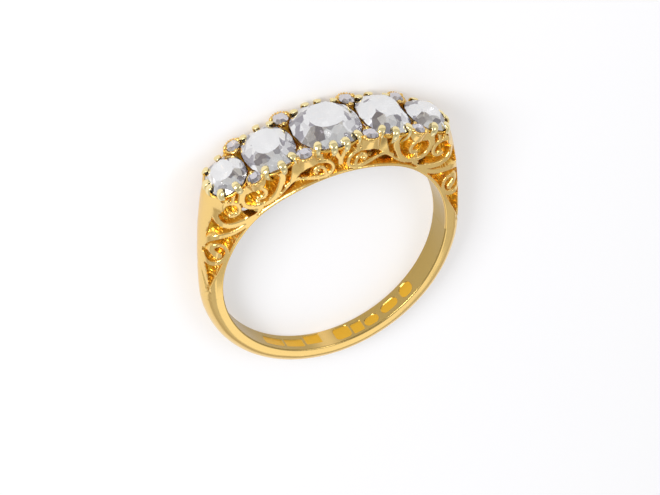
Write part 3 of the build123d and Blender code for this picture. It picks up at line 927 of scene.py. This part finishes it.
def makeAccentSettings(name, material):
    # a collar with three beads and a row of grains round each small stone
    setting = accentSetting
    parts = []
    around = np.radians(np.linspace(0, 360, setting["cells"], endpoint=False))[:, None]
    offset, height = np.array(setting["section"]).T
    for accent in accents.values():
        for side in (1, -1):
            for face in (1, -1):
                turn, radius = side * accent["turn"], accent["radius"]
                middle = -face * accent["across"]
                reach = radius + offset + 0 * around
                rise = setting["lift"] + height + 0 * around
                x, y = reach * np.cos(around), middle + reach * np.sin(around)
                hit = insideStones(*np.moveaxis(seatPoints(turn, x, y, rise), -1, 0))
                tucked = radius + setting["tuckReach"] + setting["tuckShare"] * (offset - offset[0])
                reach = np.where(hit & (offset > 0), tucked, reach)
                x, y = reach * np.cos(around), middle + reach * np.sin(around)
                parts.append(closedTube(seatPoints(turn, x, y, rise), loop=True))
                for ways, size, out, up in setting["beads"]:
                    for way in np.radians(ways):
                        spot = radius + out
                        place = (spot * cos(way), middle + face * spot * sin(way), setting["lift"] + up)
                        parts.append(ball(place, size, turn))
    points, faces = joinParts(parts)
    return makePiece(name, points, faces, material, "gold", carved=np.full(len(points), setting["carved"]))


finish = dict(
    # the recess colour is painted shade in the hollows of the carving and the marks; the band colour is real
    # wear with painted shade
    polishedHex="#EFCB80", recessShadeHex="#E3B038", wornHex="#B79C5C", polishedRoughness=0.19,
    recessRoughness=0.3, wornRoughness=0.26,
    grainMm=1 / 3.6,  # of the graver's marks, drawn coarser than real ones so that they show
    grainDetail=4, grainDistance=0.00005, grainPolished=0.03, grainRecess=0.5,
    waveMm=3.5, waveDistance=0.00012,  # of the slow waves that hand polishing leaves
    # the claws' paler colour is a painted highlight
    clawHighlightHex="#F1E0A8",
    # the stones' light patches and pale tables are painted light and reflection, the grey patches painted
    # shade
    diamondLightHex="#FFFFFF", smallDiamondLightHex="#E6E2E7", shadeHex="#A8A4AB",
    diamondIor=2.42, clear=0.85, sparkle=0.66,
    patchMm=0.5, smallPatchMm=0.3,  # width of the patches of light in a stone
    patchRange=(0.2, 0.6),  # random values between which a patch turns from grey to light
    tableLean=0.06, tableFacing=0.87,  # of a table's normal along the finger, and towards the head
)


def goldMaterial(name, hexColour):
    # Polished 18 carat gold gives clear warm reflections, softly waved by hand polishing. It is rougher where
    # it is cut away, and its deeper colour there is painted shade in the hollows. It is dull inside the band,
    # where a finger wears it, and its darker colour there is real wear with painted shade. Sockets 6 and 7
    # are the two colours of a mix, and output 2 is what it gives.
    material, tree, shader = newMaterial(name)
    carved = addNode(tree, "Attribute", attribute_name="carved")
    # the recess colour mixed in here is painted shade
    colour = addNode(tree, "Mix", links={0: (carved, "Fac")}, data_type="RGBA")
    colour.inputs[6].default_value = linear(hexColour)
    colour.inputs[7].default_value = linear(finish["recessShadeHex"])
    worn = addNode(tree, "Attribute", attribute_name="worn")
    # the band colour mixed in here is real wear with painted shade
    dullShade = addNode(tree, "Mix", links={0: (worn, "Fac"), 6: (colour, 2)}, data_type="RGBA")
    dullShade.inputs[7].default_value = linear(finish["wornHex"])
    tree.links.new(dullShade.outputs[2], shader.inputs["Base Color"])
    rough = addNode(tree, "MapRange",
                    {"To Min": finish["polishedRoughness"], "To Max": finish["recessRoughness"]},
                    {"Value": (carved, "Fac")})
    satin = addNode(tree, "MapRange", {"To Max": finish["wornRoughness"]},
                    {"Value": (worn, "Fac"), "To Min": (rough, 0)})
    tree.links.new(satin.outputs[0], shader.inputs["Roughness"])
    place = addNode(tree, "TexCoord")
    grain = addNode(tree, "TexNoise", {"Scale": 1000 / finish["grainMm"], "Detail": finish["grainDetail"]},
                    {"Vector": (place, "Object")})
    strength = addNode(tree, "MapRange",
                       {"To Min": finish["grainPolished"], "To Max": finish["grainRecess"]},
                       {"Value": (carved, "Fac")})
    waves = addNode(tree, "TexNoise", {"Scale": 1000 / finish["waveMm"], "Detail": 1},
                    {"Vector": (place, "Object")})
    swell = addNode(tree, "Bump", {"Distance": finish["waveDistance"], "Strength": 1},
                    {"Height": (waves, 0)})
    bump = addNode(tree, "Bump", {"Distance": finish["grainDistance"]},
                   {"Height": (grain, 0), "Strength": (strength, 0), "Normal": (swell, 0)})
    tree.links.new(bump.outputs[0], shader.inputs["Normal"])
    shader.inputs["Metallic"].default_value = 1
    return material


def diamondMaterial(name, hexColour, patchMm):
    # Cut diamond: clear, with its own strong refraction, and part mirror for the light that its facets throw
    # back. Light and grey patches are painted light and shade, standing for the lower facets as they show
    # through the crown, and the flat table is painted pale as a painted reflection.
    material, tree, shader = newMaterial(name)
    place = addNode(tree, "TexCoord")
    patches = addNode(tree, "TexVoronoi", {"Scale": 1000 / patchMm}, {"Vector": (place, "Object")})
    shades = addNode(tree, "SeparateColor", links={0: (patches, "Color")})
    dark, pale = finish["patchRange"]
    light = addNode(tree, "MapRange", {"From Min": dark, "From Max": pale}, {"Value": (shades, 0)})
    way = addNode(tree, "NewGeometry")
    lean = addNode(tree, "VectorMath", {1: tuple(fingerWay)}, {0: (way, "True Normal")},
                   operation="DOT_PRODUCT")
    level = addNode(tree, "Math", {1: 0, 2: finish["tableLean"]}, {0: (lean, "Value")}, operation="COMPARE")
    facing = addNode(tree, "VectorMath", {1: tuple(headWay)}, {0: (way, "True Normal")},
                     operation="DOT_PRODUCT")
    outward = addNode(tree, "Math", {1: finish["tableFacing"]}, {0: (facing, "Value")},
                      operation="GREATER_THAN")
    # the table is painted pale, a painted reflection
    table = addNode(tree, "Math", links={0: (level, 0), 1: (outward, 0)}, operation="MULTIPLY")
    bright = addNode(tree, "Math", links={0: (light, 0), 1: (table, 0)}, operation="MAXIMUM")
    colour = addNode(tree, "Mix", links={0: (bright, 0)}, data_type="RGBA")
    colour.inputs[6].default_value = linear(finish["shadeHex"])
    colour.inputs[7].default_value = linear(hexColour)
    tree.links.new(colour.outputs[2], shader.inputs["Base Color"])
    shader.inputs["Roughness"].default_value = 0
    shader.inputs["IOR"].default_value = finish["diamondIor"]
    shader.inputs["Transmission Weight"].default_value = finish["clear"]
    shader.inputs["Metallic"].default_value = finish["sparkle"]
    return material


gold = goldMaterial("polished_18_carat_gold", finish["polishedHex"])
clawHighlightGold = goldMaterial("claw_highlight_gold", finish["clawHighlightHex"])  # the claws' paler colour is a painted highlight
diamond = diamondMaterial("cut_diamond", finish["diamondLightHex"], finish["patchMm"])
smallDiamond = diamondMaterial("small_cut_diamond", finish["smallDiamondLightHex"], finish["smallPatchMm"])
print("materials:", gold.name, clawHighlightGold.name, diamond.name, smallDiamond.name)
for name, node in frame["nodes"].items():
    material = gold if name == "ring_mount" else smallDiamond if "accent" in name else diamond
    node.data.materials.clear()
    node.data.materials.append(material)
for faceName, face in (("front", 1), ("back", -1)):
    for sideName, side in (("right", 1), ("left", -1)):
        makeHeadQuarter(f"{faceName}_{sideName}_head", side, face, gold)
shank = makeShank("shank", gold)
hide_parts("ring_mount")
makeCollets("collets", gold)
makeClaws("claws", clawHighlightGold)
makeAccentSettings("accent_settings", gold)
